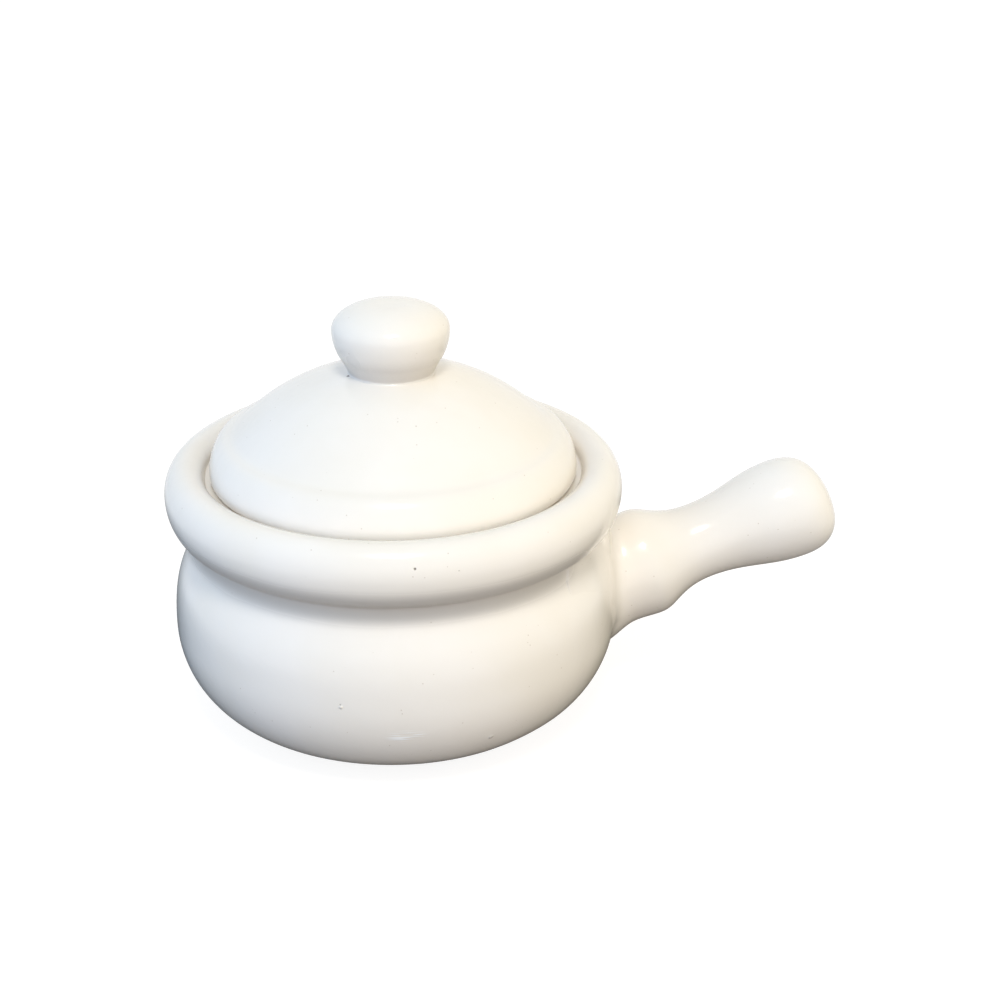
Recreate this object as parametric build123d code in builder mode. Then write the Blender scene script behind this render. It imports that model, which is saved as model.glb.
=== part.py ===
"""A lidded stoneware soup crock with a stick handle: bowl, handle, lid and knob.

Millimetres. The origin is the centre of the foot, +Z is up and the handle points along +X.
"""

import os
from math import acos, cos, degrees, radians, sin, sqrt

from build123d import *

# Bowl
bowl_height = 74.4  # table to the crest of the rim
belly_radius = 62.5
belly_height = 28.3  # where the belly is widest
belly_share = 0.72  # share of the climb to the neck over which the belly stays full
neck_share = 0.3  # share of that climb over which the neck stays upright
foot_radius = 36.0
foot_height = 1.2
foot_step = 1.2  # foot out to where the belly's curve starts
wall = 5.0
floor_thickness = 6.0

# Rolled rim
rim_radius = 63.5
rim_outer_roll = 6.2  # crest of the rim out to its widest
rim_inner_roll = 5.0  # crest of the rim in to the ledge
rim_upper_roll = 8.2  # widest up to the crest
rim_lower_roll = 9.8  # widest down to the underside
rim_under_angle = 80.0  # how far round its underside the roll goes, in degrees
rim_overhang = 6.2  # widest in to the neck
neck_drop = 3.0  # underside of the rim down to the neck
neck_pull = 0.7  # share of that drop over which the neck stays upright
roll_pull = 0.3  # share of it over which the roll carries on

# Ledge inside the rim, which carries the lid
ledge_depth = 4.25  # crest of the rim down to the ledge
ledge_width = 6.8
ledge_face = 4.5  # upright face below the ledge
ledge_fillet = 1.0
throat_fillet = 3.0

# Handle, with distances from where its axis meets the belly
handle_length = 70.0
handle_tilt = 17.4  # degrees above level
handle_rise = 3.15  # the axis meets the belly this far above its widest
root_radius = 18.2
collar_radius = 15.7
grip_radius = 11.1
end_radius = 15.05
root_distance = -9.0  # inside the belly, where the flare starts
collar_distance = 8.0
grip_distance = 28.5
end_round = 13.0  # widest of the end out to the tip
root_depth = 24.0  # the blank starts this far inside the belly
handle_ease = 0.4  # share of each swell that runs level
end_fullness = 0.68  # 0.55 is a round end, 1 a square one

# Web of clay that fills the neck on both sides of the handle
web_share = 0.616  # its depth in line with the handle, as a share of the slope from the neck to the belly
web_angle = 41.0  # how far round the neck it runs each way, in degrees

# Lid
lid_clearance = 1.45  # lid edge to the foot of the rim
lid_height = 30.4  # seat to the top of the dome
lid_wall = 5.0
edge_under_width = 2.3  # rounding below the lid's edge
edge_under_height = 3.2
bead_width = 3.9  # rounding above the lid's edge
bead_height = 6.6
bead_angle = 104.0  # how far over its top the bead goes, in degrees
dome_half_height = 57.0
dome_spread = 18.1  # the dome's ellipse is this much wider than its shoulder
shoulder_width = 8.9  # lid edge in to the dome's shoulder
shoulder_reach = 3.2  # the dome's slope carries on this far towards the crease
crease_reach = 1.6  # and the bead's slope this far
hollow_width = 8.8  # lid edge in to the hollow, at the seat
hollow_draft = 2.4  # the hollow is this much narrower at its shoulder
hollow_fillet = 3.0

# Knob
knob_radius = 16.15
knob_flat_radius = 6.4
knob_base_radius = 11.6
knob_neck_height = 2.8  # top of the dome up to the end of the neck
knob_under_height = 8.0  # end of the neck up to the widest
knob_upper_height = 7.0  # widest up to the top
knob_under_angle = 42.0  # how far round its underside the knob goes, in degrees

# Places that follow from the sizes above
base_radius = foot_radius + foot_step
rim_mid_height = bowl_height - rim_upper_roll
crest_radius = rim_radius - rim_outer_roll
neck_radius = rim_radius - rim_overhang
neck_height = rim_mid_height - rim_lower_roll - neck_drop
ledge_radius = crest_radius - rim_inner_roll
seat_height = bowl_height - ledge_depth
throat_radius = ledge_radius - ledge_width
handle_root = Vector(belly_radius, 0, belly_height + handle_rise)
handle_direction = Vector(cos(radians(handle_tilt)), 0, sin(radians(handle_tilt)))
web_length = neck_radius + web_share * sqrt((belly_radius - neck_radius) ** 2 + neck_drop**2)
web_end = neck_radius * Vector(cos(radians(web_angle)), sin(radians(web_angle)))
web_half_width = web_end.Y / sqrt(1 - (web_end.X / web_length) ** 2)
lid_radius = ledge_radius - lid_clearance
edge_height = seat_height + edge_under_height
dome_top = seat_height + lid_height
dome_base = dome_top - dome_half_height
shoulder_radius = lid_radius - shoulder_width
dome_half_width = shoulder_radius + dome_spread
hollow_radius = lid_radius - hollow_width
knob_mid_height = dome_top + knob_neck_height + knob_under_height


def upper_belly(neck, belly):
    """Draw the wall from its widest up to the neck, upright at both ends."""
    climb = neck.Y - belly.Y
    Bezier(belly, belly + (0, belly_share * climb), neck - (0, neck_share * climb), neck)


def bowl_outside():
    """Draw the outside of the bowl, from the middle of the foot to the crest of the rim."""
    belly = Vector(belly_radius, belly_height)
    neck = Vector(neck_radius, neck_height)
    Polyline((0, 0), (foot_radius, 0), (base_radius, foot_height))
    EllipticalCenterArc(
        (base_radius, belly_height),
        belly_radius - base_radius,
        belly_height - foot_height,
        start_angle=-90,
        arc_size=90,
    )
    upper_belly(neck, belly)
    roll = EllipticalCenterArc(
        (crest_radius, rim_mid_height),
        rim_outer_roll,
        rim_lower_roll,
        start_angle=-rim_under_angle,
        arc_size=rim_under_angle,
    )
    Bezier(
        neck,
        neck + (0, neck_pull * neck_drop),
        roll @ 0 - (roll % 0) * (roll_pull * neck_drop),
        roll @ 0,
    )
    EllipticalCenterArc((crest_radius, rim_mid_height), rim_outer_roll, rim_upper_roll)


def dome_arc(radius, thickness=0.0):
    """Draw the dome, or one inside it, from the axis out to a radius."""
    half_width = dome_half_width - thickness
    return EllipticalCenterArc(
        (0, dome_base),
        half_width,
        dome_half_height - thickness,
        start_angle=90,
        arc_size=degrees(acos(radius / half_width)) - 90,
    )


with BuildPart() as bowl:
    with BuildSketch(Plane.XZ) as bowl_section:
        with BuildLine():
            bowl_outside()
            EllipticalCenterArc((crest_radius, seat_height), rim_inner_roll, ledge_depth, start_angle=90)
            inner_neck = Vector(neck_radius - wall, neck_height)
            inner_belly = Vector(belly_radius - wall, belly_height)
            Polyline(
                (ledge_radius, seat_height),
                (throat_radius, seat_height),
                (throat_radius, seat_height - ledge_face),
                inner_neck,
            )
            upper_belly(inner_neck, inner_belly)
            inner_floor = EllipticalCenterArc(
                (base_radius, belly_height),
                inner_belly.X - base_radius,
                belly_height - foot_height - floor_thickness,
                start_angle=0,
                arc_size=-90,
            )
            Polyline(inner_floor @ 1, (0, foot_height + floor_thickness), (0, 0))
        make_face()
        corners = bowl_section.vertices()
        ledge_corners = corners.sort_by_distance((ledge_radius, seat_height))[:1]
        ledge_corners += corners.sort_by_distance((throat_radius, seat_height))[:1]
        fillet(ledge_corners, ledge_fillet)
        corners = bowl_section.vertices()
        throat_corners = corners.sort_by_distance((throat_radius, seat_height - ledge_face))[:1]
        throat_corners += corners.sort_by_distance(inner_neck)[:1]
        fillet(throat_corners, throat_fillet)
    revolve(axis=Axis.Z)

with BuildPart() as bowl_blank:
    with BuildSketch(Plane.XZ):
        with BuildLine():
            bowl_outside()
            Polyline((crest_radius, bowl_height), (0, bowl_height), (0, 0))
        make_face()
    revolve(axis=Axis.Z)

with BuildPart() as handle:
    handle_plane = Plane(handle_root, x_dir=handle_direction, z_dir=(0, -1, 0))
    end_distance = handle_length - end_round
    swells = [
        Vector(root_distance, root_radius),
        Vector(collar_distance, collar_radius),
        Vector(grip_distance, grip_radius),
        Vector(end_distance, end_radius),
    ]
    tip = Vector(handle_length, 0)
    with BuildSketch(handle_plane):
        with BuildLine():
            Polyline(tip, (-root_depth, 0), (-root_depth, root_radius), swells[0])
            for start, end in zip(swells, swells[1:]):
                level = Vector(handle_ease * (end.X - start.X), 0)
                Bezier(start, start + level, end - level, end)
            Bezier(
                swells[-1],
                swells[-1] + (end_fullness * end_round, 0),
                tip + (0, end_fullness * end_radius),
                tip,
            )
        make_face()
    revolve(axis=Axis(handle_root, handle_direction))
    with BuildSketch(Plane.XY.offset(belly_height)):
        Ellipse(web_length, web_half_width)
        Rectangle(web_length, 2 * web_half_width, align=(Align.MIN, Align.CENTER), mode=Mode.INTERSECT)
    extrude(amount=rim_mid_height - belly_height)
    add(bowl_blank.part, mode=Mode.SUBTRACT)

with BuildPart() as lid:
    with BuildSketch(Plane.XZ) as lid_section:
        with BuildLine():
            dome = dome_arc(shoulder_radius)
            bead = EllipticalCenterArc(
                (lid_radius - bead_width, edge_height),
                bead_width,
                bead_height,
                arc_size=bead_angle,
            )
            Bezier(
                dome @ 1,
                dome @ 1 + (dome % 1) * shoulder_reach,
                bead @ 1 + (bead % 1) * crease_reach,
                bead @ 1,
            )
            edge = EllipticalCenterArc(
                (lid_radius - edge_under_width, edge_height),
                edge_under_width,
                edge_under_height,
                arc_size=-90,
            )
            hollow = dome_arc(hollow_radius - hollow_draft, lid_wall)
            Polyline(edge @ 1, (hollow_radius, seat_height), hollow @ 1)
            Line(hollow @ 0, dome @ 0)
        make_face()
        fillet(lid_section.vertices().sort_by_distance(hollow @ 1)[0], hollow_fillet)
    revolve(axis=Axis.Z)

with BuildPart() as knob:
    with BuildSketch(Plane.XZ):
        with BuildLine():
            base = dome_arc(knob_base_radius)
            under = EllipticalCenterArc(
                (knob_flat_radius, knob_mid_height),
                knob_radius - knob_flat_radius,
                knob_under_height / sin(radians(knob_under_angle)),
                start_angle=-knob_under_angle,
                arc_size=knob_under_angle,
            )
            Line(base @ 1, under @ 0)
            crown = EllipticalCenterArc(
                (knob_flat_radius, knob_mid_height),
                knob_radius - knob_flat_radius,
                knob_upper_height,
            )
            Polyline(crown @ 1, (0, knob_mid_height + knob_upper_height), base @ 0)
        make_face()
    revolve(axis=Axis.Z)

os.makedirs("parts", exist_ok=True)
pieces = {"bowl": bowl, "handle": handle, "lid": lid, "knob": knob}
for name, piece in pieces.items():
    piece.part.label = name
    export_step(piece.part, f"parts/{name}.step")
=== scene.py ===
"""Dresses a lidded soup crock: glazed bowl, handle, lid and knob, in a pale studio.

Everything is in metres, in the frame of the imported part: the origin is the centre of the foot,
+Z is up and the handle points along +X.
"""

from math import acos, cos, pi, radians, sin, sqrt

import bpy
import numpy as np
from bpy.props import FloatProperty, FloatVectorProperty, IntProperty, PointerProperty
from mathutils import Matrix, Vector, noise


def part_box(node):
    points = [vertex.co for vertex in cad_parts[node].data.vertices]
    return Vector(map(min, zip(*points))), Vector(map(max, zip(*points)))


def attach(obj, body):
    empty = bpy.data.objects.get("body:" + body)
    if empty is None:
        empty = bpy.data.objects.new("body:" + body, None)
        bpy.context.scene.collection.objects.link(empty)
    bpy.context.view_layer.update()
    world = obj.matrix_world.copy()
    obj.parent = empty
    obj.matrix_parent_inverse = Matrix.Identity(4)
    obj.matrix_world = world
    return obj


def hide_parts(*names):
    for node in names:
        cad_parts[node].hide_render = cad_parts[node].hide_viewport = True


bl_info = {
    "name": "Soup Crock",
    "version": (1, 0, 0),
    "blender": (4, 5, 0),
    "location": "View3D > Sidebar > Crock",
    "description": "Makes a glazed stoneware soup crock with a stick handle and a knobbed lid",
    "category": "Add Mesh",
}

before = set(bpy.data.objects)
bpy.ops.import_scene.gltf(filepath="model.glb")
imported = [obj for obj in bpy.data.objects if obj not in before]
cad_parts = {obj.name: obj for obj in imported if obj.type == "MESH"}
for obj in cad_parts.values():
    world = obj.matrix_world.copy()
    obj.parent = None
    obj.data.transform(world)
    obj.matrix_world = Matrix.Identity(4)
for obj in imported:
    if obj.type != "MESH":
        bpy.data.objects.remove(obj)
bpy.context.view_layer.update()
bowl_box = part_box("bowl")
handle_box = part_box("handle")
lid_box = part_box("lid")
knob_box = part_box("knob")

MM = 0.001
WHITE = (1.0, 1.0, 1.0, 1.0)


def length(name, description, default):
    """A size that a user may change."""
    return FloatProperty(name=name, description=description, default=default, unit="LENGTH", precision=4)


def share(name, description, default):
    """A part of a whole, from 0 to 1."""
    return FloatProperty(
        name=name, description=description, default=default, min=0.0, max=1.0, subtype="FACTOR"
    )


def angle(name, description, default):
    """An angle that is given here in degrees."""
    return FloatProperty(name=name, description=description, default=radians(default), subtype="ANGLE")


def colour(name, description, default):
    """A colour that a user may change."""
    return FloatVectorProperty(
        name=name, description=description, default=default, min=0.0, max=1.0, subtype="COLOR"
    )


class BowlSizes(bpy.types.PropertyGroup):
    """Sizes of the bowl, its rolled rim and the ledge that carries the lid"""

    height: length("Height", "Table to the crest of the rim", bowl_box[1].z)
    rim_radius: length("Rim radius", "Axis out to the widest of the rim", bowl_box[1].x)
    belly_radius: length("Belly radius", "Axis out to the widest of the belly", 62.5 * MM)
    belly_height: length("Belly height", "Table up to where the belly is widest", 28.3 * MM)
    belly_share: share("Belly share", "Share of the climb to the neck where the belly stays full", 0.72)
    neck_share: share("Neck share", "Share of that climb where the neck stays upright", 0.3)
    foot_radius: length("Foot radius", "Axis out to the edge of the foot", 36 * MM)
    foot_height: length("Foot height", "Table up to where the belly's curve starts", 1.2 * MM)
    foot_step: length("Foot step", "Foot out to where the belly's curve starts", 1.2 * MM)
    wall: length("Wall", "Thickness of the wall", 5 * MM)
    floor_thickness: length("Floor", "Thickness of the bowl's floor", 6 * MM)
    rim_outer_roll: length("Rim outer roll", "Crest of the rim out to its widest", 6.2 * MM)
    rim_inner_roll: length("Rim inner roll", "Crest of the rim in to the ledge", 5 * MM)
    rim_upper_roll: length("Rim upper roll", "Widest of the rim up to its crest", 8.2 * MM)
    rim_lower_roll: length("Rim lower roll", "Widest of the rim down to its underside", 9.8 * MM)
    rim_under_angle: angle("Rim underside", "How far round its underside the roll goes", 80)
    rim_overhang: length("Rim overhang", "Widest of the rim in to the neck", 6.2 * MM)
    neck_drop: length("Neck drop", "Underside of the rim down to the neck", 3 * MM)
    neck_pull: share("Neck pull", "Share of that drop where the neck stays upright", 0.7)
    roll_pull: share("Roll pull", "Share of that drop where the roll carries on", 0.3)
    ledge_depth: length("Ledge depth", "Crest of the rim down to the ledge", 4.25 * MM)
    ledge_width: length("Ledge width", "Width of the ledge", 6.8 * MM)
    ledge_face: length("Ledge face", "Height of the upright face below the ledge", 4.5 * MM)


class HandleSizes(bpy.types.PropertyGroup):
    """Sizes of the handle, with distances from where its axis meets the belly"""

    reach: length("Length", "Belly out to the tip", 70 * MM)
    tilt: angle("Tilt", "Slope of the handle above level", 17.4)
    rise: length("Rise", "Widest of the belly up to where the axis meets it", 3.15 * MM)
    root_radius: length("Root radius", "Radius of the flare inside the belly", 18.2 * MM)
    waist_radius: length("Waist radius", "Radius between the root and the collar", 15.4 * MM)
    collar_radius: length("Collar radius", "Radius of the collar beside the bowl", 15.8 * MM)
    grip_radius: length("Grip radius", "Radius at the narrowest", 11.1 * MM)
    end_radius: length("End radius", "Radius at the widest of the end", 15.05 * MM)
    root_depth: length("Root depth", "How far inside the belly the flare starts", 9 * MM)
    waist_distance: length("Waist distance", "Belly out to the waist before the collar", 3.5 * MM)
    collar_distance: length("Collar distance", "Belly out to the collar", 11 * MM)
    grip_distance: length("Grip distance", "Belly out to the narrowest", 28.5 * MM)
    end_round: length("End round", "Widest of the end out to the tip", 13 * MM)
    ease: share("Ease", "Share of each swell that runs level", 0.4)
    collar_ease: share("Collar ease", "Share of the drop to the grip that runs level at the collar", 0.28)
    grip_ease: share("Grip ease", "Share of that drop that runs level at the grip", 0.58)
    end_fullness: share("End fullness", "How square the end is", 0.68)
    end_slant: length("End slant", "How far the end leans back at its top", 2 * MM)
    buried: length("Buried", "How far inside the belly the bar starts", 24 * MM)
    web_share: share("Web share", "Depth of the web, as a share of the slope from neck to belly", 0.616)
    web_angle: angle("Web angle", "How far round the neck the web runs each way", 41)
    web_blend: length("Web blend", "Rounding between the handle and its web", 5 * MM)
    root_blend: length("Root blend", "Rounding between the handle and the belly", 3 * MM)


class LidSizes(bpy.types.PropertyGroup):
    """Sizes of the lid, its rounded edge and the hollow under it"""

    radius: length("Radius", "Axis out to the lid's edge", lid_box[1].x)
    seat_height: length("Seat height", "Table up to the ledge that the lid sits on", lid_box[0].z)
    top_height: length("Top height", "Table up to the top of the dome", lid_box[1].z)
    wall: length("Wall", "Thickness of the dome", 5 * MM)
    edge_under_width: length("Edge width", "Width of the rounding below the edge", 1 * MM)
    edge_under_height: length("Edge height", "Height of the rounding below the edge", 1.4 * MM)
    bead_width: length("Bead width", "Width of the rounding above the edge", 6.5 * MM)
    bead_height: length("Bead height", "Height of the rounding above the edge", 10.5 * MM)
    bead_angle: angle("Bead angle", "How far up to its top that rounding goes", 82)
    dome_half_height: length("Dome half height", "Half the height of the dome's ellipse", 57 * MM)
    dome_spread: length("Dome spread", "How much wider the dome's ellipse is than its shoulder", 19 * MM)
    shoulder_width: length("Shoulder width", "Edge in to the dome's shoulder", 9.8 * MM)
    shoulder_reach: length("Shoulder reach", "How far the dome's slope carries on to the crease", 1.8 * MM)
    crease_reach: length("Crease reach", "How far the bead's slope carries on to the crease", 1.3 * MM)
    hollow_width: length("Hollow width", "Edge in to the hollow, at the seat", 8.8 * MM)
    hollow_draft: length("Hollow draft", "How much narrower the hollow is at its shoulder", 2.4 * MM)


class KnobSizes(bpy.types.PropertyGroup):
    """Sizes of the lid's knob"""

    radius: length("Radius", "Axis out to the widest", knob_box[1].x)
    top_height: length("Top height", "Table up to the top of the knob", knob_box[1].z)
    under_inset: length("Under inset", "Axis out to the middle of the lower rounding", 6.4 * MM)
    base_radius: length("Base radius", "Radius where the knob meets the dome", 11.6 * MM)
    under_height: length("Under height", "End of the neck up to the widest", 8 * MM)
    upper_height: length("Upper height", "Widest up to the top", 7 * MM)
    under_angle: angle("Under angle", "How far round its underside the knob goes", 42)
    crown_flat: length("Crown flat", "Radius of the flat on top", 3.4 * MM)
    slip_width: length("Slip width", "Width of the fillet of slip round its base", 0.7 * MM)


class GlazeLook(bpy.types.PropertyGroup):
    """Colours and finish of the glaze and the bare clay, with the shade and glints that are painted on the
    glaze
    """

    cream: colour("Glaze", "Colour of the glaze", (0.85, 0.8, 0.737))
    thick: colour("Thick glaze", "Colour where the glaze lies thick", (0.865, 0.82, 0.772))
    # Painted shade: the colour of the shadow under the rim and round the knob's base
    groove_shade: colour("Groove", "Colour of the glaze in a groove", (0.33, 0.31, 0.29))
    # Painted shade, with some grime: the colour in the tightest creases and the gap round the lid
    crease: colour("Crease", "Colour in the tightest creases", (0.66, 0.56, 0.42))
    speck: colour("Specks", "Colour of the iron specks", (0.4, 0.31, 0.22))
    # Painted shade: the dark inside a pinhole
    pit_shade: colour("Pits", "Colour inside a pinhole", (0.13, 0.1, 0.075))
    # Painted glint: the light that the fine scratches catch
    scratch_glint: colour("Scratches", "Colour of the fine scratches", (0.97, 0.97, 0.97))
    clay: colour("Clay", "Colour of the bare clay", (0.68, 0.6, 0.47))
    roughness: share("Roughness", "Roughness of the glaze", 0.16)
    ripple: length("Ripple", "How deep the glaze ripples", 0.16 * MM)


class StageLook(bpy.types.PropertyGroup):
    """Floor, light and camera"""

    floor: colour("Floor", "Colour of the floor's paint, as it lights the crock", (0.27, 0.25, 0.235))
    cool: colour("Cool light", "Colour of the light from the left", (0.41, 0.67, 1.0))
    warm: colour("Warm light", "Colour of the light from the right", (0.95, 0.89, 0.69))
    plain: colour("Plain light", "Colour of the light from behind", (0.84, 0.82, 0.79))
    key: colour("Key light", "Colour of the small high lamp", (1.0, 0.97, 0.88))
    soft: colour("Soft light", "Colour of the wide lamp", (1.0, 0.84, 0.76))
    lens: FloatProperty(name="Lens", description="Focal length in millimetres", default=68.92, min=1.0)


class CrockSettings(bpy.types.PropertyGroup):
    """Everything that a user may change"""

    bowl: PointerProperty(type=BowlSizes)
    handle: PointerProperty(type=HandleSizes)
    lid: PointerProperty(type=LidSizes)
    knob: PointerProperty(type=KnobSizes)
    glaze: PointerProperty(type=GlazeLook)
    stage: PointerProperty(type=StageLook)
    sides: IntProperty(name="Sides", description="Steps round the bowl and lid", default=224, min=16)
    knob_sides: IntProperty(name="Knob sides", description="Steps round the knob", default=144, min=16)


# Outlines, as points of radius and height


def ellipse_arc(centre, half_width, half_height, start, end, steps=60):
    """Points along an ellipse between two angles in radians."""
    turn = np.linspace(start, end, steps)
    across = centre[0] + half_width * np.cos(turn)
    up = centre[1] + half_height * np.sin(turn)
    return np.stack([across, up], 1)


def bezier(start, start_pull, end_pull, end, steps=60):
    """Points along a cubic curve."""
    after = np.linspace(0, 1, steps)[:, None]
    before = 1 - after
    near = before**3 * np.asarray(start) + 3 * before**2 * after * np.asarray(start_pull)
    far = 3 * before * after**2 * np.asarray(end_pull) + after**3 * np.asarray(end)
    return near + far


def carried_on(before, end, reach):
    """A point that lies a reach beyond an end, in line with the point before it."""
    slope = end - before
    slope *= reach / np.linalg.norm(slope)
    return end + slope


def joined(*runs):
    """One outline from several runs of points, without repeats."""
    nearest = 1e-3 * MM
    points = np.concatenate([np.atleast_2d(np.asarray(run, float)) for run in runs])
    steps = np.linalg.norm(np.diff(points, axis=0), axis=1)
    return points[np.append(True, steps > nearest)]


def read_off(outline, measure, places):
    """Points of an outline where a measure along it has the given values."""
    return np.stack([np.interp(places, measure, column) for column in outline.T], 1)


def eased(outline, reach):
    """An outline from axis to axis whose corners are rounded over a reach, as glaze rounds them."""
    taps = 12
    travelled = np.append(0, np.cumsum(np.linalg.norm(np.diff(outline, axis=0), axis=1)))
    fine = read_off(outline, travelled, np.arange(0, travelled[-1], reach / taps))
    mirror = np.array([-1, 1])
    before = fine[taps:0:-1] * mirror
    after = fine[-2 : -taps - 2 : -1] * mirror
    padded = np.concatenate([before, fine, after])
    weights = np.bartlett(2 * taps + 1)
    weights /= weights.sum()
    soft = np.stack([np.convolve(column, weights, "valid") for column in padded.T], 1)
    soft[[0, -1], 0] = 0
    return soft


def rows_of(outline, spacing, bend):
    """Rows for a turned mesh: one for each spacing along the outline, and one for each bend in radians."""
    step = np.diff(outline, axis=0)
    heading = np.unwrap(np.arctan2(step[:, 1], step[:, 0]))
    turned = np.append(0, np.abs(np.diff(heading)))
    cost = np.append(0, np.cumsum(np.linalg.norm(step, axis=1) / spacing + turned / bend))
    count = int(cost[-1]) + 2
    return read_off(outline, cost, np.linspace(0, cost[-1], count))


def belly_climb(belly, neck, sizes):
    """The wall from its widest up to the neck, upright at both ends."""
    climb = neck[1] - belly[1]
    lower = (belly[0], belly[1] + sizes.belly_share * climb)
    upper = (neck[0], neck[1] - sizes.neck_share * climb)
    return bezier(belly, lower, upper, neck)


def rim_places(sizes):
    """The radius of the rim's crest, the height of its widest, and the neck below it."""
    crest = sizes.rim_radius - sizes.rim_outer_roll
    middle = sizes.height - sizes.rim_upper_roll
    neck = np.array([sizes.rim_radius - sizes.rim_overhang, middle - sizes.rim_lower_roll - sizes.neck_drop])
    return crest, middle, neck


def bowl_outside(sizes):
    """Outline of the bowl from the middle of the foot up to the crest of the rim."""
    crest, middle, neck = rim_places(sizes)
    base = sizes.foot_radius + sizes.foot_step
    belly = np.array([sizes.belly_radius, sizes.belly_height])
    lower = ellipse_arc((base, belly[1]), belly[0] - base, belly[1] - sizes.foot_height, -pi / 2, 0)
    under = sizes.rim_under_angle
    roll = ellipse_arc((crest, middle), sizes.rim_outer_roll, sizes.rim_lower_roll, -under, 0)
    slope = np.array([sizes.rim_outer_roll * sin(under), sizes.rim_lower_roll * cos(under)])
    slope *= sizes.roll_pull * sizes.neck_drop / np.linalg.norm(slope)
    throat = bezier(neck, neck + (0, sizes.neck_pull * sizes.neck_drop), roll[0] - slope, roll[0])
    top = ellipse_arc((crest, middle), sizes.rim_outer_roll, sizes.rim_upper_roll, 0, pi / 2)
    foot = [(0, 0), (sizes.foot_radius, 0), (base, sizes.foot_height)]
    return joined(foot, lower, belly_climb(belly, neck, sizes), throat, roll, top)


def bowl_outline(sizes):
    """Outline of the whole bowl, from the middle of the foot round to the middle of its floor."""
    crest, _, neck = rim_places(sizes)
    seat = sizes.height - sizes.ledge_depth
    ledge = crest - sizes.rim_inner_roll
    opening = ledge - sizes.ledge_width
    base = sizes.foot_radius + sizes.foot_step
    inner_neck = np.array([neck[0] - sizes.wall, neck[1]])
    inner_belly = np.array([sizes.belly_radius - sizes.wall, sizes.belly_height])
    bottom = sizes.foot_height + sizes.floor_thickness
    inner_roll = ellipse_arc((crest, seat), sizes.rim_inner_roll, sizes.ledge_depth, pi / 2, pi)
    steps = [(ledge, seat), (opening, seat), (opening, seat - sizes.ledge_face), inner_neck]
    inner_climb = belly_climb(inner_belly, inner_neck, sizes)[::-1]
    hollow = ellipse_arc((base, inner_belly[1]), inner_belly[0] - base, inner_belly[1] - bottom, 0, -pi / 2)
    return joined(bowl_outside(sizes), inner_roll, steps, inner_climb, hollow, [(0, bottom)])


def dome_place(sizes):
    """The dome's ellipse: the height of its middle, half its width and half its height."""
    half_width = sizes.radius - sizes.shoulder_width + sizes.dome_spread
    return sizes.top_height - sizes.dome_half_height, half_width, sizes.dome_half_height


def dome_height(sizes, radius):
    """Height of the dome at a radius."""
    base, half_width, half_height = dome_place(sizes)
    return base + half_height * sqrt(1 - (radius / half_width) ** 2)


def lid_outline(sizes):
    """Outline of the lid, from the middle of its hollow round its edge to the top of the dome."""
    base, half_width, half_height = dome_place(sizes)
    edge_height = sizes.seat_height + sizes.edge_under_height
    hollow_radius = sizes.radius - sizes.hollow_width
    inner_width = half_width - sizes.wall
    inner_end = acos((hollow_radius - sizes.hollow_draft) / inner_width)
    hollow = ellipse_arc((0, base), inner_width, half_height - sizes.wall, pi / 2, inner_end)
    under_middle = (sizes.radius - sizes.edge_under_width, edge_height)
    under = ellipse_arc(under_middle, sizes.edge_under_width, sizes.edge_under_height, -pi / 2, 0)
    bead_middle = (sizes.radius - sizes.bead_width, edge_height)
    bead = ellipse_arc(bead_middle, sizes.bead_width, sizes.bead_height, 0, sizes.bead_angle)
    shoulder = acos((sizes.radius - sizes.shoulder_width) / half_width)
    dome = ellipse_arc((0, base), half_width, half_height, shoulder, pi / 2)
    bead_pull = carried_on(bead[-2], bead[-1], sizes.crease_reach)
    dome_pull = carried_on(dome[1], dome[0], sizes.shoulder_reach)
    crease = bezier(bead[-1], bead_pull, dome_pull, dome[0])
    return joined(hollow, [(hollow_radius, sizes.seat_height)], under, bead, crease, dome)


def knob_outline(sizes, lid):
    """Outline of the knob, from under its base, up a fillet of slip and over its crown."""
    middle = sizes.top_height - sizes.upper_height
    depth = sizes.under_height / sin(sizes.under_angle)
    under_width = sizes.radius - sizes.under_inset
    under = ellipse_arc((sizes.under_inset, middle), under_width, depth, -sizes.under_angle, 0)
    corner = np.array([sizes.base_radius, dome_height(lid, sizes.base_radius)])
    edge_radius = sizes.base_radius + sizes.slip_width
    edge = np.array([edge_radius, dome_height(lid, edge_radius)])
    neck = under[0] - corner
    slip_top = corner + neck * sizes.slip_width / np.linalg.norm(neck)
    slip = bezier(edge, (edge + 2 * corner) / 3, (slip_top + 2 * corner) / 3, slip_top)
    sunk = np.array([0, 0.4 * MM])
    base = [(0, dome_height(lid, 0) - sunk[1]), edge - sunk]
    crown_width = sizes.radius - sizes.crown_flat
    crown = ellipse_arc((sizes.crown_flat, middle), crown_width, sizes.upper_height, 0, pi / 2)
    return joined(base, slip, under, crown, [(0, sizes.top_height)])


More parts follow.
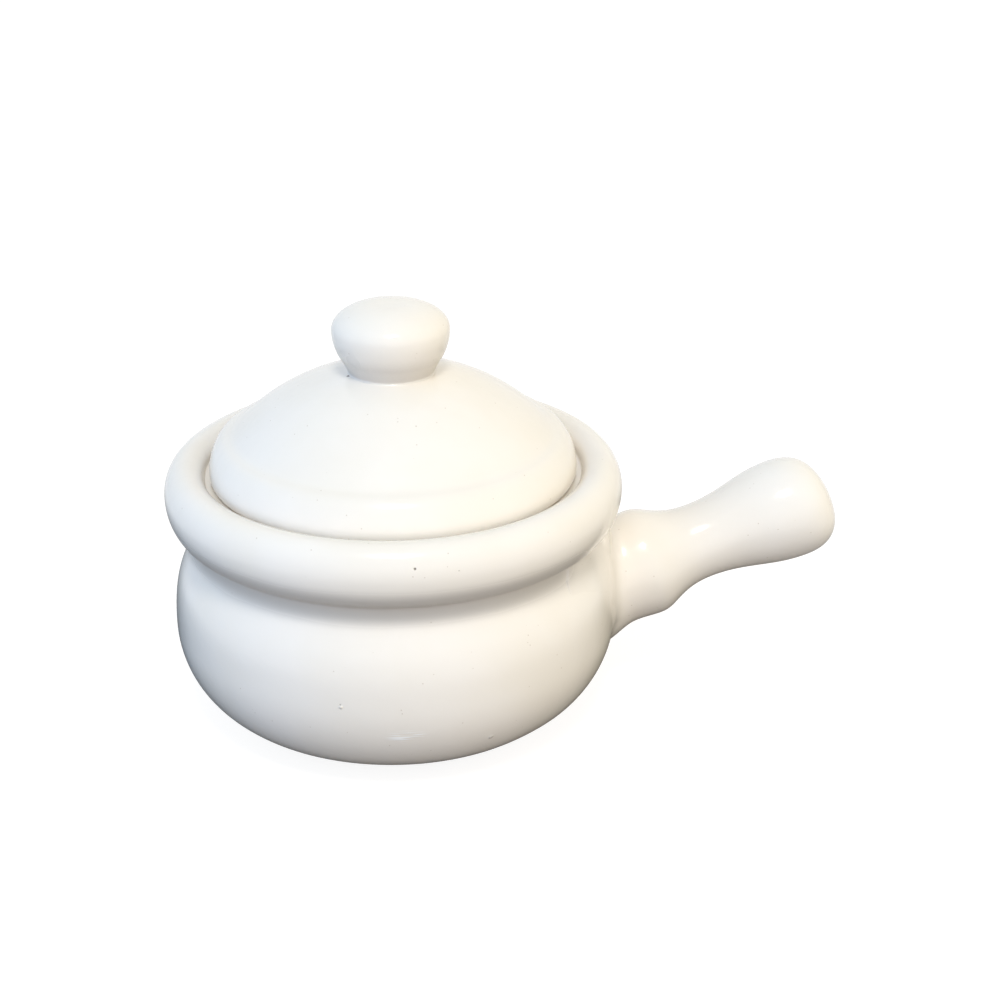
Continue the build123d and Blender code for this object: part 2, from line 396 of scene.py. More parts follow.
def handle_outline(handle):
    """Outline of the handle's bar, as points of distance along its axis and radius."""
    swell_steps = 24
    end_steps = 32
    end = handle.reach - handle.end_round
    swells = [
        (-handle.root_depth, handle.root_radius),
        (handle.waist_distance, handle.waist_radius),
        (handle.collar_distance, handle.collar_radius),
        (handle.grip_distance, handle.grip_radius),
        (end, handle.end_radius),
    ]
    runs = [[(-handle.buried, 0), (-handle.buried, handle.root_radius)]]
    start_eases = (handle.ease, handle.ease, handle.collar_ease, handle.ease)
    stop_eases = (handle.ease, handle.ease, handle.grip_ease, handle.ease)
    for start, stop, start_ease, stop_ease in zip(swells, swells[1:], start_eases, stop_eases):
        run = stop[0] - start[0]
        start_pull = (start[0] + start_ease * run, start[1])
        stop_pull = (stop[0] - stop_ease * run, stop[1])
        runs.append(bezier(start, start_pull, stop_pull, stop, swell_steps))
    end_pull = (end + handle.end_fullness * handle.end_round, handle.end_radius)
    tip_pull = (handle.reach, handle.end_fullness * handle.end_radius)
    runs.append(bezier(swells[-1], end_pull, tip_pull, (handle.reach, 0), end_steps))
    return joined(*runs)


# Meshes


def new_mesh(name, points, faces):
    """A mesh of the given points and faces."""
    mesh = bpy.data.meshes.new(name)
    mesh.from_pydata(points, [], faces)
    return mesh


def new_object(name, data):
    """An object in the scene."""
    made = bpy.data.objects.new(name, data)
    bpy.context.scene.collection.objects.link(made)
    return made


def turned_mesh(name, rows, sides):
    """A closed mesh turned about the Z axis from rows that start and end on it."""
    turn = np.linspace(0, 2 * pi, sides, endpoint=False)
    rings = rows[1:-1]
    x = rings[:, :1] * np.cos(turn)
    y = rings[:, :1] * np.sin(turn)
    z = np.repeat(rings[:, 1:], sides, axis=1)
    points = np.stack([x, y, z], -1).reshape(-1, 3)
    first = len(points)
    last = first + 1
    points = np.concatenate([points, [(0, 0, rows[0, 1]), (0, 0, rows[-1, 1])]])
    faces = []
    for row in range(len(rings) - 1):
        below = row * sides
        above = below + sides
        for side in range(sides):
            after = (side + 1) % sides
            faces.append((below + side, below + after, above + after, above + side))
    top = (len(rings) - 1) * sides
    for side in range(sides):
        after = (side + 1) % sides
        faces.append((first, after, side))
        faces.append((last, top + side, top + after))
    return new_mesh(name, points.tolist(), faces)


def ripple(mesh, depth, grain, free):
    """Let the surface wander inward by up to a depth. Free says how far a point may go, from 0 to 1."""
    normals = [normal.vector.copy() for normal in mesh.vertex_normals]
    for vertex, normal in zip(mesh.vertices, normals):
        wander = 0.5 + 0.5 * noise.noise(vertex.co / grain)
        vertex.co -= normal * (depth * min(max(wander, 0), 1) * free(vertex.co))
    mesh.update()


def ramp(value, low, high):
    """0 below low, 1 above high and smooth between them."""
    part = np.clip((value - low) / (high - low), 0, 1)
    return part * part * (3 - 2 * part)


def grid_between(low, high, cell):
    """A grid between two corners: how many points it has each way, and the points."""
    counts = np.ceil((np.array(high) - low) / cell).astype(int) + 1
    steps = np.stack(np.meshgrid(*[np.arange(n) for n in counts], indexing="ij"), -1)
    return counts, low + steps.reshape(-1, len(counts)) * cell


def outline_distance(outline, low, high, cell):
    """A function for the distance of points to a closed outline, less than 0 inside it."""
    low = np.array(low)
    counts, spots = grid_between(low, high, cell)
    spots = spots[:, None]
    following = np.roll(outline, -1, axis=0)
    run = following - outline
    part = np.clip(((spots - outline) * run).sum(-1) / (run**2).sum(-1), 0, 1)
    gap = np.linalg.norm(spots - outline - part[..., None] * run, axis=-1).min(1)
    crossed = (outline[:, 1] > spots[..., 1]) != (following[:, 1] > spots[..., 1])
    with np.errstate(divide="ignore", invalid="ignore"):
        meets = outline[:, 0] + (spots[..., 1] - outline[:, 1]) / run[:, 1] * run[:, 0]
    inside = (crossed & (meets > spots[..., 0])).sum(1) % 2 == 1
    table = np.where(inside, -gap, gap).reshape(counts)
    last_cell = counts - 1.001

    def distance(points):
        place = np.clip((points - low) / cell, 0, last_cell)
        corner = place.astype(int)
        u, v = (place - corner).T
        i, j = corner.T
        near = table[i, j] * (1 - u) + table[i + 1, j] * u
        far = table[i, j + 1] * (1 - u) + table[i + 1, j + 1] * u
        return near * (1 - v) + far * v

    return distance


def smooth_union(first, second, reach):
    """The distance to two bodies whose meeting line is filled over a reach."""
    part = np.clip(0.5 + 0.5 * (second - first) / reach, 0, 1)
    return second + (first - second) * part - reach * part * (1 - part)


def slope_of(distance, points, step):
    """Which way a distance grows, at each point."""
    slopes = [distance(points + axis) - distance(points - axis) for axis in np.eye(3) * step]
    return np.stack(slopes, 1) / (2 * step)


def fill_diagonals(inside):
    """Fill a grid where cells touch only across a diagonal, so that no edge gets more than two faces."""
    crossings = 1
    while crossings:
        crossings = 0
        for axes in ((0, 1), (0, 2), (1, 2)):
            grid = np.moveaxis(inside, axes, (0, 1))
            corners = [grid[:-1, :-1], grid[1:, :-1], grid[1:, 1:], grid[:-1, 1:]]
            alike = (corners[0] == corners[2]) & (corners[1] == corners[3])
            crossed = alike & (corners[0] != corners[1])
            crossings += crossed.sum()
            for corner in corners:
                corner |= crossed


def joined_cells(inside, seed):
    """The cells of a grid that are joined to a seed through other cells inside."""
    body = np.zeros_like(inside)
    body[seed] = True
    count = 0
    while body.sum() > count:
        count = body.sum()
        grown = body.copy()
        for axis in range(3):
            new = np.moveaxis(grown, axis, 0)
            old = np.moveaxis(body, axis, 0)
            new[1:] |= old[:-1]
            new[:-1] |= old[1:]
        body = grown & inside
    return body


def cell_quads(inside, number):
    """Quads between numbered cells, one round each grid edge that goes from inside to outside."""
    quads = []
    for axis in range(3):
        start = np.take(inside, range(inside.shape[axis] - 1), axis)
        end = np.take(inside, range(1, inside.shape[axis]), axis)
        across = (axis + 1) % 3
        up = (axis + 2) % 3
        for edge in np.argwhere(start != end):
            corners = []
            for back_across, back_up in ((1, 1), (0, 1), (0, 0), (1, 0)):
                cell_place = edge.copy()
                cell_place[across] -= back_across
                cell_place[up] -= back_up
                corners.append(int(number[tuple(cell_place)]))
            outward = start[tuple(edge)]
            quads.append(corners if outward else corners[::-1])
    return quads


def skin(name, distance, low, high, cell):
    """A closed mesh of quads over the surface where a distance is 0."""
    rounds = 8
    pulls = 2
    probe = 0.25 * cell
    least_slope = 0.1
    low = np.array(low)
    counts, spots = grid_between(low, high, cell)
    depth = distance(spots).reshape(counts)
    inside = joined_cells(depth < 0, np.unravel_index(depth.argmin(), depth.shape))
    fill_diagonals(inside)
    full = sum(
        inside[i : counts[0] - 1 + i, j : counts[1] - 1 + j, k : counts[2] - 1 + k].astype(int)
        for i in (0, 1)
        for j in (0, 1)
        for k in (0, 1)
    )
    mixed = (full > 0) & (full < 8)
    number = np.full(mixed.shape, -1)
    number[mixed] = np.arange(mixed.sum())
    points = low + (np.argwhere(mixed) + 0.5) * cell
    faces = cell_quads(inside, number)
    quads = np.array(faces)
    ends = np.concatenate([quads[:, [0, 1]], quads[:, [1, 2]], quads[:, [2, 3]], quads[:, [3, 0]]])
    neighbours = np.bincount(ends[:, 0], minlength=len(points))[:, None]
    for _ in range(rounds):
        total = np.zeros_like(points)
        np.add.at(total, ends[:, 0], points[ends[:, 1]])
        points = 0.5 * points + 0.5 * total / neighbours
        for _ in range(pulls):
            slope = slope_of(distance, points, probe)
            size = np.maximum((slope**2).sum(1), least_slope)
            points -= (distance(points) / size)[:, None] * slope
    return new_mesh(name, points.tolist(), faces)


def web_distance(bowl, handle):
    """A function for the distance to the web beside the handle, and to the layer that it lies in."""
    _, rim_middle, neck = rim_places(bowl)
    depth = neck[0] + handle.web_share * np.hypot(bowl.belly_radius - neck[0], bowl.neck_drop)
    corner = neck[0] * np.array([cos(handle.web_angle), sin(handle.web_angle)])
    half_width = corner[1] / sqrt(1 - (corner[0] / depth) ** 2)
    middle = (bowl.belly_height + rim_middle) / 2
    half_height = (rim_middle - bowl.belly_height) / 2
    tiny = 1e-6

    def distance(points):
        x, y, z = points.T
        size = np.sqrt((x / depth) ** 2 + (y / half_width) ** 2)
        steep = np.sqrt((x / depth**2) ** 2 + (y / half_width**2) ** 2) / np.maximum(size, tiny)
        layer = np.abs(z - middle) - half_height
        return np.maximum((size - 1) / np.maximum(steep, tiny), layer), layer

    return distance


def handle_distance(bowl, handle):
    """A function for the distance to the handle, with its web and the rounding where it joins the belly."""
    table_cell = 0.7 * MM
    root = np.array([bowl.belly_radius, 0, bowl.belly_height + handle.rise])
    out = np.array([cos(handle.tilt), 0, sin(handle.tilt)])
    over = np.array([-sin(handle.tilt), 0, cos(handle.tilt)])
    end = handle.reach - handle.end_round
    stick = handle_outline(handle)
    mirrored = joined(stick, stick[-2:0:-1] * (1, -1))
    stick_area = ((-40 * MM, -1 * MM), (90 * MM, 60 * MM))
    stick_distance = outline_distance(mirrored, *stick_area, table_cell)
    outside = joined(bowl_outside(bowl)[::3], [(0, bowl.height)])
    bowl_area = ((30 * MM, -5 * MM), (90 * MM, 90 * MM))
    bowl_distance = outline_distance(outside, *bowl_area, table_cell)
    web_distances = web_distance(bowl, handle)
    web_spare = radians(5)
    sunk = 0.04 * MM
    depth = 2.8 * MM
    border = 7 * MM

    def distance(points):
        away = points - root
        travelled = away @ out
        height = away @ over
        lean = 0.5 * handle.end_slant * (1 + height / handle.end_radius)
        lean *= ramp(travelled, handle.grip_distance, end)
        spread = np.sqrt(np.maximum((away**2).sum(1) - travelled**2, 0))
        bar = stick_distance(np.stack([travelled + lean, spread], 1))
        x, y, z = points.T
        radius = np.hypot(x, y)
        wall = bowl_distance(np.stack([radius, z], 1))
        web, layer = web_distances(points)
        whole = smooth_union(smooth_union(bar, web, handle.web_blend), wall, handle.root_blend)
        beside = radius * (np.abs(np.arctan2(y, x)) - handle.web_angle - web_spare)
        near = np.minimum(bar - border, np.maximum(beside, layer))
        return np.maximum(np.maximum(whole + sunk, -(wall + depth)), near)

    return distance


# Materials


def empty_tree(owner):
    """The node tree of a material or world, with nothing in it yet."""
    owner.use_nodes = True
    owner.node_tree.nodes.clear()
    return owner.node_tree


def add_node(tree, kind, inputs=None, **settings):
    """The outputs of a new shader node, where each input is a value or a socket to link."""
    made = tree.nodes.new("ShaderNode" + kind)
    for key, value in settings.items():
        setattr(made, key, value)
    for key, value in (inputs or {}).items():
        if isinstance(value, bpy.types.NodeSocket):
            tree.links.new(value, made.inputs[key])
        else:
            made.inputs[key].default_value = value
    return made.outputs


def mix_colours(tree, factor, first, second):
    """A socket with two colours mixed by a factor."""
    inputs = {0: factor}
    for key, value in ((6, first), (7, second)):
        linked = isinstance(value, bpy.types.NodeSocket)
        inputs[key] = value if linked else (*value, 1.0)
    return add_node(tree, "Mix", inputs, data_type="RGBA")[2]


def mix_shaders(tree, factor, first, second):
    """A socket with two shaders mixed by a factor."""
    return add_node(tree, "MixShader", {0: factor, 1: first, 2: second})[0]


def new_material(name):
    """A material with its empty node tree, and a socket with the place on the object."""
    material = bpy.data.materials.new(name)
    tree = empty_tree(material)
    return material, tree, add_node(tree, "TexCoord")["Object"]


def arithmetic(tree, operation, first, second):
    """A socket with the result of a sum on two numbers."""
    return add_node(tree, "Math", {0: first, 1: second}, operation=operation)[0]


def weighed(tree, value, weight):
    """A socket with a value times a weight."""
    return arithmetic(tree, "MULTIPLY", value, weight)


def vector_maths(tree, operation, first, second=(0.0, 0.0, 0.0), output="Vector"):
    """A socket with the result of a sum on two vectors."""
    return add_node(tree, "VectorMath", {0: first, 1: second}, operation=operation)[output]


def banded(tree, value, low, high, start=0.0, end=1.0):
    """A socket that goes smoothly from start to end as a value goes from low to high."""
    inputs = {"Value": value, "From Min": low, "From Max": high, "To Min": start, "To Max": end}
    return add_node(tree, "MapRange", inputs, interpolation_type="SMOOTHSTEP")["Result"]


def soft_noise(tree, place, scale, detail):
    """A socket with soft noise, about 0.5 on the whole."""
    inputs = {"Vector": place, "Scale": scale, "Detail": detail}
    return add_node(tree, "TexNoise", inputs)["Fac"]


def openness(tree, reach):
    """A socket that is 1 where the surface lies open, and less where something lies within a reach of it."""
    return add_node(tree, "AmbientOcclusion", {"Distance": reach}, samples=8)["AO"]


def specks(tree, place, cell, size, kept, offset=(0.0, 0.0, 0.0)):
    """A socket that is 1 on scattered round specks: one in each cell, of which only a share is kept."""
    shifted = vector_maths(tree, "ADD", place, offset)
    inputs = {"Vector": shifted, "Scale": 1 / cell, "Randomness": 1.0}
    spread = add_node(tree, "TexVoronoi", inputs)
    dots = banded(tree, spread["Distance"], 0.5 * size / cell, size / cell, 1.0, 0.0)
    chance = add_node(tree, "SeparateColor", {0: spread["Color"]})["Red"]
    return weighed(tree, dots, arithmetic(tree, "LESS_THAN", chance, kept))


def mark(tree, place, centre, size):
    """A socket that is 1 at one point of the surface and fades to 0 at a size from it."""
    gap = vector_maths(tree, "DISTANCE", place, centre, "Value")
    return banded(tree, gap, 0.35 * size, size, 1.0, 0.0)


def scratches(tree, place, centre, half_length, half_height):
    """A socket that is 1 on fine, nearly level scratches in a patch round a point, where a glint is painted.
    """
    offset = vector_maths(tree, "SUBTRACT", place, centre)
    scaled = vector_maths(tree, "MULTIPLY", offset, (1 / half_length, 1 / half_length, 1 / half_height))
    gap = vector_maths(tree, "LENGTH", scaled, output="Value")
    patch = banded(tree, gap, 0.3, 1.0, 1.0, 0.0)
    stretched = vector_maths(tree, "MULTIPLY", offset, (0.06, 0.06, 1.0))
    streaks = soft_noise(tree, stretched, scale=1700.0, detail=1.0)
    return weighed(tree, patch, banded(tree, streaks, 0.48, 0.58))


def rim_shade_mask(tree, place, bowl):
    """A socket that is 1 where shade is painted outside the neck under the rim, and fades above, below and
    towards the handle.
    """
    _, middle, neck = rim_places(bowl)
    parts = add_node(tree, "SeparateXYZ", {0: place})
    level = vector_maths(tree, "MULTIPLY", place, (1.0, 1.0, 0.0))
    radius = vector_maths(tree, "LENGTH", level, output="Value")
    towards_handle = arithmetic(tree, "DIVIDE", parts["X"], radius)
    above_belly = banded(tree, parts["Z"], neck[1] - 4.5 * MM, neck[1] + 1 * MM)
    below_roll = banded(tree, parts["Z"], middle - 7 * MM, middle - 2 * MM, 1.0, 0.0)
    outside = banded(tree, radius, neck[0] - 4 * MM, neck[0] - 2 * MM)
    clear_of_web = banded(tree, towards_handle, cos(radians(50)), cos(radians(38)), 1.0, 0.0)
    groove_shade = above_belly
    for fade in (below_roll, outside, clear_of_web):
        groove_shade = weighed(tree, groove_shade, fade)
    return groove_shade


def glaze_material(name, look, bowl=None, reach=0.0, pinholes=(), bumps=(), glinting_scuffs=()):
    """Glossy cream glaze: rippled, faintly specked, with shade painted into grooves, creases and pinholes,
    glints painted on scuffs, and marked at given points.

    A bowl gives the shade painted under its rim. With a reach, shade is painted where something within it
    closes in.
    """
    material, tree, place = new_material(name)
    clouds = soft_noise(tree, place, scale=38.0, detail=3.0)
    base = mix_colours(tree, banded(tree, clouds, 0.35, 0.7), look.cream, look.thick)
    fine = specks(tree, place, cell=3.2 * MM, size=0.24 * MM, kept=0.6, offset=(0.013, 0.007, 0.019))
    coarse = specks(tree, place, cell=11 * MM, size=0.3 * MM, kept=0.4, offset=(0.031, 0.003, 0.011))
    base = mix_colours(tree, weighed(tree, fine, 0.4), base, look.speck)
    base = mix_colours(tree, weighed(tree, coarse, 0.42), base, look.speck)
    groove_shade = 0.0
    if bowl:
        groove_shade = rim_shade_mask(tree, place, bowl)
    if reach:
        groove_shade = banded(tree, openness(tree, reach), 0.3, 1.0, 1.0, 0.0)
    # Painted shade under the rim, or where something closes in
    base = mix_colours(tree, weighed(tree, groove_shade, 0.56), base, look.groove_shade)
    coat = weighed(tree, arithmetic(tree, "SUBTRACT", 1.0, groove_shade), 0.3)
    # Painted shade, with some grime, where the surface closes in tightly
    crease_grime_and_shade = banded(tree, openness(tree, 2.4 * MM), 0.05, 0.4, 1.0, 0.0)
    base = mix_colours(tree, weighed(tree, crease_grime_and_shade, 0.45), base, look.crease)
    waves = soft_noise(tree, place, scale=150.0, detail=2.0)
    peel = soft_noise(tree, place, scale=620.0, detail=1.0)
    height = weighed(tree, waves, 0.09)
    height = arithmetic(tree, "ADD", height, weighed(tree, peel, 0.012))
    height = arithmetic(tree, "SUBTRACT", height, weighed(tree, coarse, 0.02))
    for centre, half_length, half_height in glinting_scuffs:
        glint_mask = scratches(tree, place, centre, half_length, half_height)
        # Painted glint on the scratches; their bump is real
        base = mix_colours(tree, glint_mask, base, look.scratch_glint)
        height = arithmetic(tree, "ADD", height, weighed(tree, glint_mask, 0.05))
    for centre, size, depth in pinholes:
        hole = weighed(tree, mark(tree, place, centre, size), depth)
        # Painted shade inside the pinhole
        base = mix_colours(tree, hole, base, look.pit_shade)
        height = arithmetic(tree, "SUBTRACT", height, weighed(tree, hole, 0.2))
    for centre, size in bumps:
        height = arithmetic(tree, "ADD", height, weighed(tree, mark(tree, place, centre, size), 0.25))
    bump = add_node(tree, "Bump", {"Strength": 1.0, "Distance": MM, "Height": height})
    gloss = banded(tree, clouds, 0.3, 0.75, look.roughness + 0.05, look.roughness - 0.04)
    gloss = arithmetic(tree, "ADD", gloss, weighed(tree, groove_shade, 0.4))
    inputs = {
        "Base Color": base,
        "Roughness": gloss,
        "IOR": 1.5,
        "Coat Weight": coat,
        "Coat Roughness": 0.05,
        "Normal": bump["Normal"],
    }
    shader = add_node(tree, "BsdfPrincipled", inputs)
    add_node(tree, "OutputMaterial", {"Surface": shader["BSDF"]})
    return material


def clay_material(name, look):
    """Bare fired clay: matt, grainy and a little darker where it has been handled."""
    material, tree, place = new_material(name)
    blotches = soft_noise(tree, place, scale=90.0, detail=4.0)
    grain = soft_noise(tree, place, scale=1800.0, detail=2.0)
    darker = tuple(0.8 * value for value in look.clay)
    base = mix_colours(tree, banded(tree, blotches, 0.4, 0.7), look.clay, darker)
    grit = specks(tree, place, cell=1.6 * MM, size=0.2 * MM, kept=0.5)
    base = mix_colours(tree, weighed(tree, grit, 0.5), base, look.speck)
    bump = add_node(tree, "Bump", {"Strength": 0.5, "Distance": 0.2 * MM, "Height": grain})
    inputs = {"Base Color": base, "Roughness": 0.85, "Normal": bump["Normal"]}
    shader = add_node(tree, "BsdfPrincipled", inputs)
    add_node(tree, "OutputMaterial", {"Surface": shader["BSDF"]})
    return material


def finish_piece(mesh, body, node, materials, bare=None):
    """Make a mesh the piece that stands for a CAD node. Bare says which faces show the second material."""
    made = new_object(mesh.name, mesh)
    for material in materials:
        mesh.materials.append(material)
    for face in mesh.polygons:
        face.use_smooth = True
        if bare and bare(face.center):
            face.material_index = 1
    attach(made, body)
    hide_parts(node)


# Stage


def lay_floor(look):
    """A floor under the foot, seen white with the crock's shadow on it.

    Mirrored in the glaze it shows a painted shadow, dark close to the crock and pale further out. As light it
    is plain paint.
    """
    half = 4.0
    corners = [(-half, -half, 0), (half, -half, 0), (half, half, 0), (-half, half, 0)]
    mesh = new_mesh("floor", corners, [(0, 1, 2, 3)])
    floor = new_object("floor", mesh)
    material, tree, place = new_material("pale_floor")
    path = add_node(tree, "LightPath")
    paint = add_node(tree, "BsdfDiffuse", {"Color": (*look.floor, 1.0)})[0]
    white = add_node(tree, "Emission", {"Color": WHITE, "Strength": 0.86})[0]
    lifted = add_node(tree, "AddShader", {0: paint, 1: white})[0]
    away = vector_maths(tree, "LENGTH", place, output="Value")
    # Painted shadow: mirrored, the floor is dim close to the crock and white further out
    pale = banded(tree, away, low=0.1, high=0.26, start=0.03, end=0.95)
    mirrored_white_with_painted_shadow = add_node(tree, "Emission", {"Color": WHITE, "Strength": pale})[0]
    mirrored = mix_shaders(tree, path["Is Glossy Ray"], paint, mirrored_white_with_painted_shadow)
    seen = arithmetic(tree, "MAXIMUM", path["Is Camera Ray"], path["Is Transmission Ray"])
    shown = mix_shaders(tree, seen, mirrored, lifted)
    add_node(tree, "OutputMaterial", {"Surface": shown})
    mesh.materials.append(material)


def paint_world(scene, look):
    """White where it is seen. As light it is a low wall all round, cool on the left and warm on the right."""
    world = bpy.data.worlds.new("white_backdrop")
    scene.world = world
    tree = empty_tree(world)
    way = add_node(tree, "TexCoord")["Generated"]
    parts = add_node(tree, "SeparateXYZ", {0: way})
    tint = mix_colours(tree, banded(tree, parts["X"], -0.7, 0.7), look.cool, look.warm)
    tint = mix_colours(tree, banded(tree, parts["Y"], 0.1, 0.75), tint, look.plain)
    sideways = weighed(tree, parts["X"], parts["X"])
    aside = banded(tree, sideways, low=0.1, high=0.6, start=0.8, end=1.0)
    rising = banded(tree, parts["Z"], low=0.0, high=0.4, start=0.9, end=2.1)
    fading = banded(tree, parts["Z"], low=0.45, high=0.8, start=1.0, end=0.2)
    glow = weighed(tree, weighed(tree, rising, fading), aside)
    wall = add_node(tree, "Background", {"Color": tint, "Strength": glow})[0]
    white = add_node(tree, "Background", {"Color": WHITE, "Strength": 1.0})[0]
    path = add_node(tree, "LightPath")
    seen = arithmetic(tree, "MAXIMUM", path["Is Camera Ray"], path["Is Transmission Ray"])
    seen = arithmetic(tree, "MAXIMUM", seen, path["Is Glossy Ray"])
    add_node(tree, "OutputWorld", {"Surface": mix_shaders(tree, seen, wall, white)})


def hang_lamp(name, elevation, size, level, tint):
    """A lamp above the camera. At level 1 it alone lights white paint that faces it to white."""
    azimuth = radians(-98)
    distance = 3.0
    aim = Vector((0.01, 0.0, 0.06))
    away = Vector((cos(azimuth) * cos(elevation), sin(azimuth) * cos(elevation), sin(elevation)))
    data = bpy.data.lights.new(name, "AREA")
    data.shape = "ELLIPSE"
    data.size, data.size_y = size
    data.energy = level * pi**2 * distance**2
    data.color = tint
    lamp = new_object(name, data)
    lamp.location = aim + away * distance
    lamp.rotation_euler = away.to_track_quat("Z", "Y").to_euler()
    return lamp


def hang_lamps(look):
    """A small high lamp, which gives the glaze its glints, and a wide soft one that isn't mirrored."""
    hang_lamp("key_lamp", elevation=radians(60), size=(0.65, 0.65), level=0.367, tint=look.key)
    soft = hang_lamp("soft_lamp", elevation=radians(13), size=(3.2, 1.5), level=0.314, tint=look.soft)
    soft.visible_glossy = False


def place_camera(scene, look):
    """The camera where the picture was taken from."""
    place = Vector((-0.06839, -0.4866, 0.27908))
    right = Vector((0.98023, -0.19784, 0.0015)).normalized()
    down = Vector((-0.07914, -0.399, -0.91353)).normalized()
    ahead = right.cross(down)
    data = bpy.data.cameras.new("camera")
    data.lens = look.lens
    data.sensor_width = 36.0
    data.clip_start = 0.01
    data.clip_end = 50.0
    camera = new_object("camera", data)
    turn = Matrix((right, -down, -ahead)).transposed()
    camera.matrix_world = Matrix.Translation(place) @ turn.to_4x4()
    scene.camera = camera


# Operators


class CROCK_OT_bowl(bpy.types.Operator):
    """Make the bowl with its rolled rim, ledge and bare foot"""

    bl_idname = "crock.bowl"
    bl_label = "Bowl"

    def execute(self, context):
        settings = context.scene.crock
        sizes = settings.bowl
        look = settings.glaze
        rows = rows_of(eased(bowl_outline(sizes), reach=0.8 * MM), spacing=2.2 * MM, bend=0.11)
        mesh = turned_mesh("bowl_body", rows, settings.sides)
        seat = sizes.height - sizes.ledge_depth
        root = Vector((sizes.belly_radius, 0, sizes.belly_height))

        def free(point):
            clear_of_foot = ramp(point.z, low=1 * MM, high=8 * MM)
            high_up = ramp(point.z, low=seat - 8 * MM, high=seat - 4 * MM)
            outside = ramp(point.xy.length, low=56 * MM, high=60 * MM)
            clear_of_ledge = 1 - high_up * (1 - outside)
            clear_of_handle = ramp((point - root).length, low=46 * MM, high=60 * MM)
            return clear_of_foot * clear_of_ledge * clear_of_handle

        def bare(point):
            line = sizes.foot_height * (0.55 + 0.5 * noise.noise(Vector(point) / (9 * MM)))
            return point.z < line and point.xy.length < sizes.foot_radius + sizes.foot_step

        ripple(mesh, look.ripple, grain=26 * MM, free=free)
        # Each pinhole has a place, a size and how dark the shade painted in it is, and each bump a place and
        # a size
        pinholes = [
            ((-0.0041, -0.0628, 0.0696), 0.46 * MM, 0.9),
            ((0.007, -0.063, 0.0681), 0.3 * MM, 0.5),
            ((-0.0235, -0.0579, 0.0301), 0.36 * MM, 0.4),
        ]
        bumps = [((0.0163, -0.0572, 0.0155), 0.9 * MM), ((-0.0235, -0.0582, 0.0294), 0.8 * MM)]
        # A scuff, with a glint painted on its scratches, has a place, half its length and half its height
        glinting_scuffs = [((-0.0068, -0.061, 0.0205), 6.5 * MM, 2.6 * MM)]
        # The bowl's glaze gets shade painted under its rim
        glaze = glaze_material("bowl_glaze", look, sizes, pinholes=pinholes, bumps=bumps, glinting_scuffs=glinting_scuffs)
        clay = clay_material("foot_clay", look)
        finish_piece(mesh, "crock", "bowl", [glaze, clay], bare)
        return {"FINISHED"}


class CROCK_OT_handle(bpy.types.Operator):
    """Make the handle, with the web of clay that joins it to the neck of the bowl"""

    bl_idname = "crock.handle"
    bl_label = "Handle"

    def execute(self, context):
        settings = context.scene.crock
        bowl = settings.bowl
        sizes = settings.handle
        look = settings.glaze
        spare = Vector((12 * MM, 12 * MM, 12 * MM))
        low = handle_box[0] - spare
        high = handle_box[1] + spare
        mesh = skin("handle_grip", handle_distance(bowl, sizes), low, high, cell=0.9 * MM)
        root = Vector((bowl.belly_radius, 0, bowl.belly_height + sizes.rise))

        def free(point):
            return ramp((point - root).length, low=34 * MM, high=48 * MM)

        ripple(mesh, look.ripple, grain=20 * MM, free=free)
        # The shade painted under the rim carries on over the web
        finish_piece(mesh, "crock", "handle", [glaze_material("handle_glaze", look, bowl)])
        return {"FINISHED"}


class CROCK_OT_lid(bpy.types.Operator):
    """Make the domed lid with its rounded edge, hollow and bare seat"""

    bl_idname = "crock.lid"
    bl_label = "Lid"

    def execute(self, context):
        settings = context.scene.crock
        sizes = settings.lid
        look = settings.glaze
        rows = rows_of(eased(lid_outline(sizes), reach=1.2 * MM), spacing=2 * MM, bend=0.1)
        mesh = turned_mesh("lid_dome", rows, settings.sides)
        knob_edge = settings.knob.base_radius + 3 * MM

        def free(point):
            clear_of_seat = ramp(point.z, sizes.seat_height + 3 * MM, sizes.seat_height + 9 * MM)
            clear_of_knob = ramp(point.xy.length, knob_edge, knob_edge + 6 * MM)
            return clear_of_seat * clear_of_knob

        def bare(point):
            return point.z < sizes.seat_height + 0.15 * MM

        ripple(mesh, look.ripple, grain=24 * MM, free=free)
        pinholes = [((-0.0121, -0.0022, 0.0994), 0.75 * MM, 0.8)]
        glaze = glaze_material("lid_glaze", look, pinholes=pinholes)
        clay = clay_material("seat_clay", look)
        finish_piece(mesh, "cover", "lid", [glaze, clay], bare)
        return {"FINISHED"}


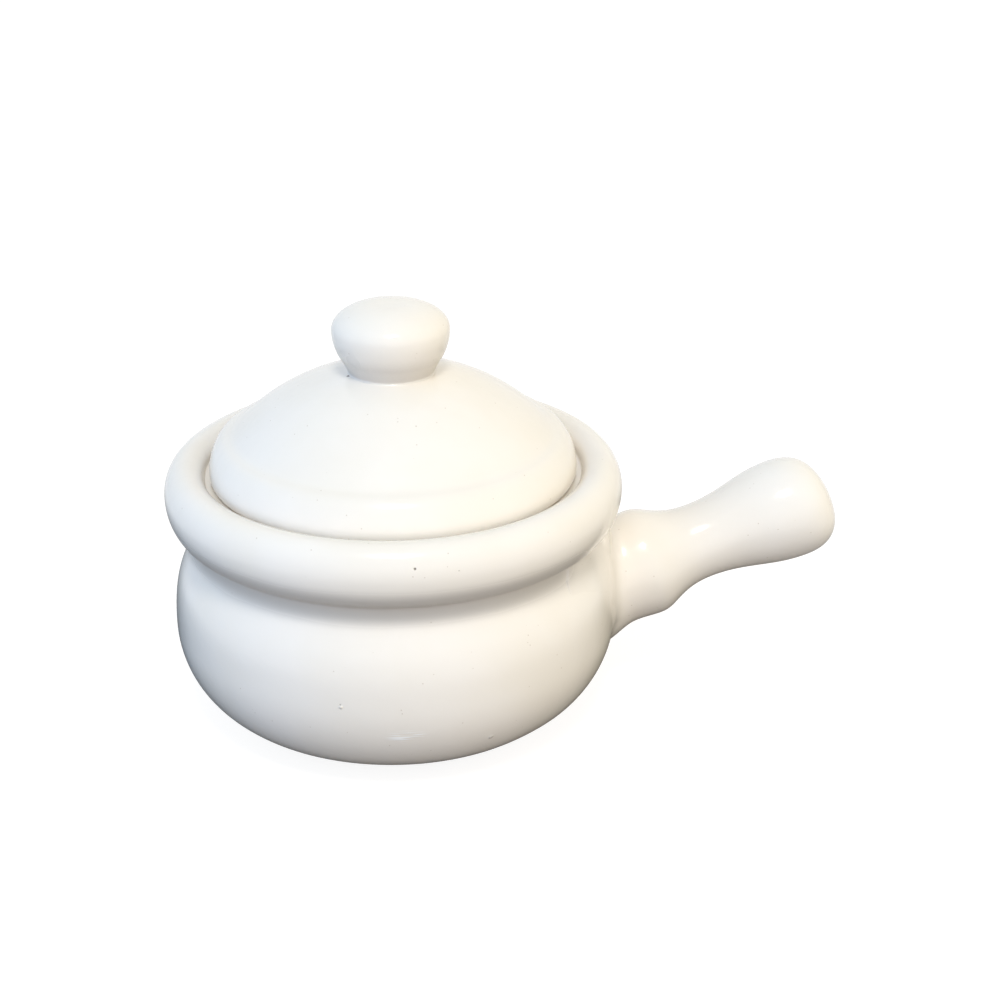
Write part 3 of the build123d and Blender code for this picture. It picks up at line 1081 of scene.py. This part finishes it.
class CROCK_OT_knob(bpy.types.Operator):
    """Make the knob with the fillet of slip round its base"""

    bl_idname = "crock.knob"
    bl_label = "Knob"

    def execute(self, context):
        settings = context.scene.crock
        sizes = settings.knob
        look = settings.glaze
        outline = knob_outline(sizes, settings.lid)
        rows = rows_of(eased(outline, reach=0.6 * MM), spacing=1 * MM, bend=0.09)
        mesh = turned_mesh("knob_ball", rows, settings.knob_sides)
        neck_end = sizes.top_height - sizes.upper_height - sizes.under_height

        def free(point):
            return ramp(point.z, neck_end, neck_end + 4 * MM)

        ripple(mesh, look.ripple, grain=12 * MM, free=free)
        # Shade is painted round the knob's base, where the lid closes in
        finish_piece(mesh, "cover", "knob", [glaze_material("knob_glaze", look, reach=20 * MM)])
        return {"FINISHED"}


class CROCK_OT_stage(bpy.types.Operator):
    """Make the floor, the white backdrop, the lamps and the camera"""

    bl_idname = "crock.stage"
    bl_label = "Stage"

    def execute(self, context):
        look = context.scene.crock.stage
        context.scene.view_settings.view_transform = "Standard"
        lay_floor(look)
        paint_world(context.scene, look)
        hang_lamps(look)
        place_camera(context.scene, look)
        return {"FINISHED"}


class CROCK_PT_panel(bpy.types.Panel):
    """The crock's pieces and sizes"""

    bl_idname = "CROCK_PT_panel"
    bl_label = "Soup Crock"
    bl_space_type = "VIEW_3D"
    bl_region_type = "UI"
    bl_category = "Crock"

    def draw(self, context):
        settings = context.scene.crock
        for operator in operators:
            self.layout.operator(operator.bl_idname)
        self.layout.prop(settings, "sides")
        self.layout.prop(settings, "knob_sides")
        for group_name in ("bowl", "handle", "lid", "knob", "glaze", "stage"):
            group = getattr(settings, group_name)
            box = self.layout.box()
            for name in group.__annotations__:
                box.prop(group, name)


operators = (CROCK_OT_bowl, CROCK_OT_handle, CROCK_OT_lid, CROCK_OT_knob, CROCK_OT_stage)
groups = (BowlSizes, HandleSizes, LidSizes, KnobSizes, GlazeLook, StageLook, CrockSettings)
classes = (*groups, *operators, CROCK_PT_panel)


def register():
    for cls in classes:
        bpy.utils.register_class(cls)
    bpy.types.Scene.crock = PointerProperty(type=CrockSettings)


def unregister():
    del bpy.types.Scene.crock
    for cls in reversed(classes):
        bpy.utils.unregister_class(cls)


def main():
    register()
    bpy.ops.crock.bowl()
    bpy.ops.crock.handle()
    bpy.ops.crock.lid()
    bpy.ops.crock.knob()
    bpy.ops.crock.stage()


if __name__ == "__main__":
    main()
